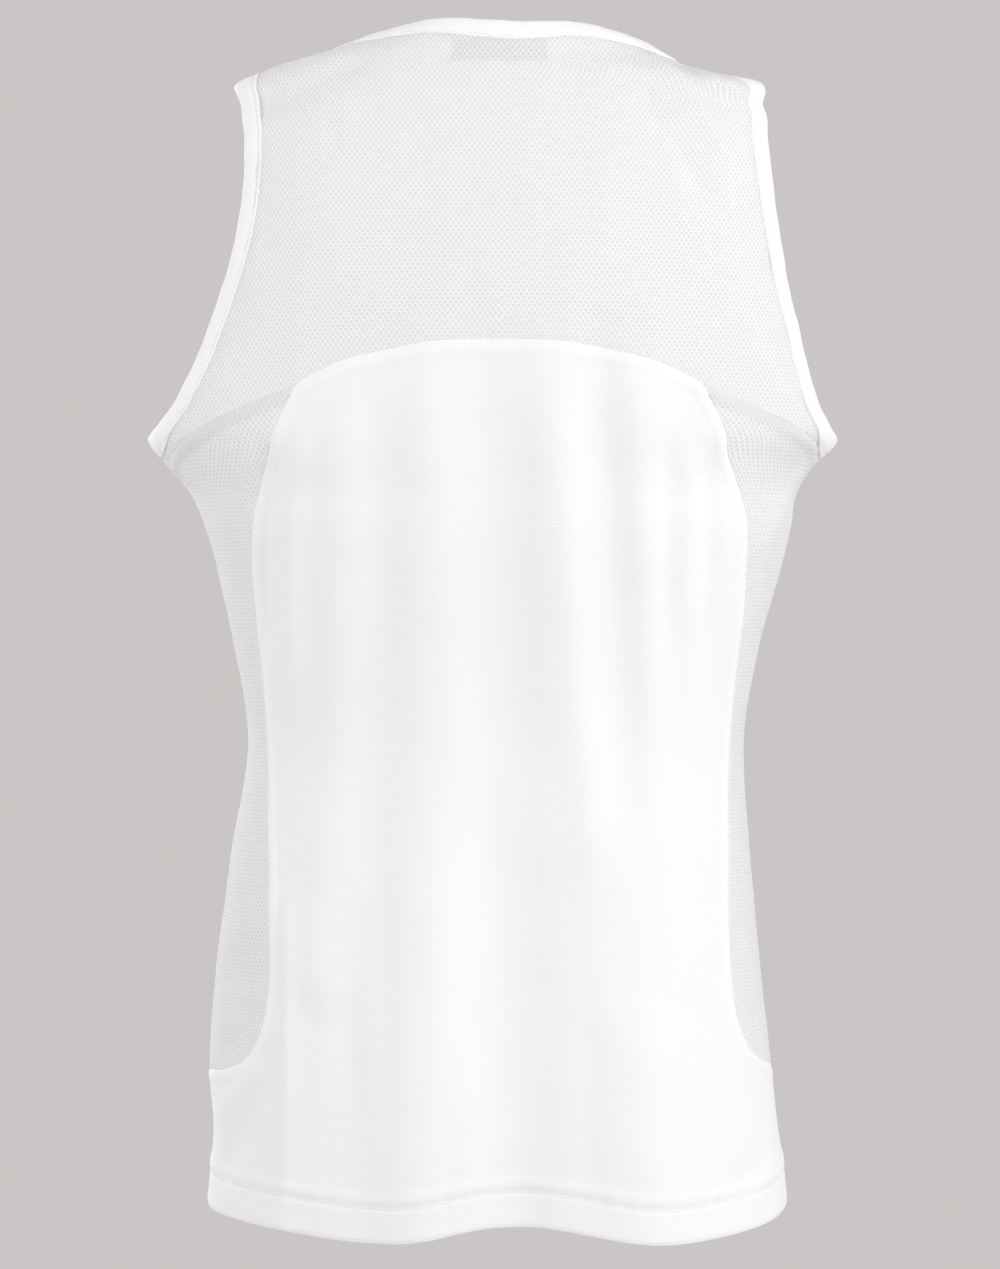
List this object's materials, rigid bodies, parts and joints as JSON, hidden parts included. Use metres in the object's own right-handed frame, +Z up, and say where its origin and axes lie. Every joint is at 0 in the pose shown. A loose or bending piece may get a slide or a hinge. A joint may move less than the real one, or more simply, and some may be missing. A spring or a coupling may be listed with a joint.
{
  "type": "running singlet",
  "caption": "Sleeveless running singlet, worn and filled out: mesh back yoke and side panels, plain knit body, bound neck and armholes, turned hem.",
  "frame": {"origin": "midway between the wearer's shoulders at shoulder height, where the wearer holds the singlet up", "axes": "+Z up, +X to the wearer's left, +Y out of the wearer's back"},
  "size_m": [0.4128, 0.2463, 0.7099],
  "materials": {
    "mesh": "matt eyelet mesh knit, slightly see-through",
    "knit": "matt plain knit with fine cross ribs",
    "binding": "smooth folded knit tape",
    "label": "plain woven tape, blank"
  },
  "bodies": {
    "root": {"back_yoke": "mesh", "back_body": "knit", "side_panel_left": "mesh", "side_panel_right": "mesh", "front_panel": "knit", "neck_binding": "binding", "armhole_binding_left": "binding", "armhole_binding_right": "binding", "neck_label": "label"}
  },
  "joints": []
}
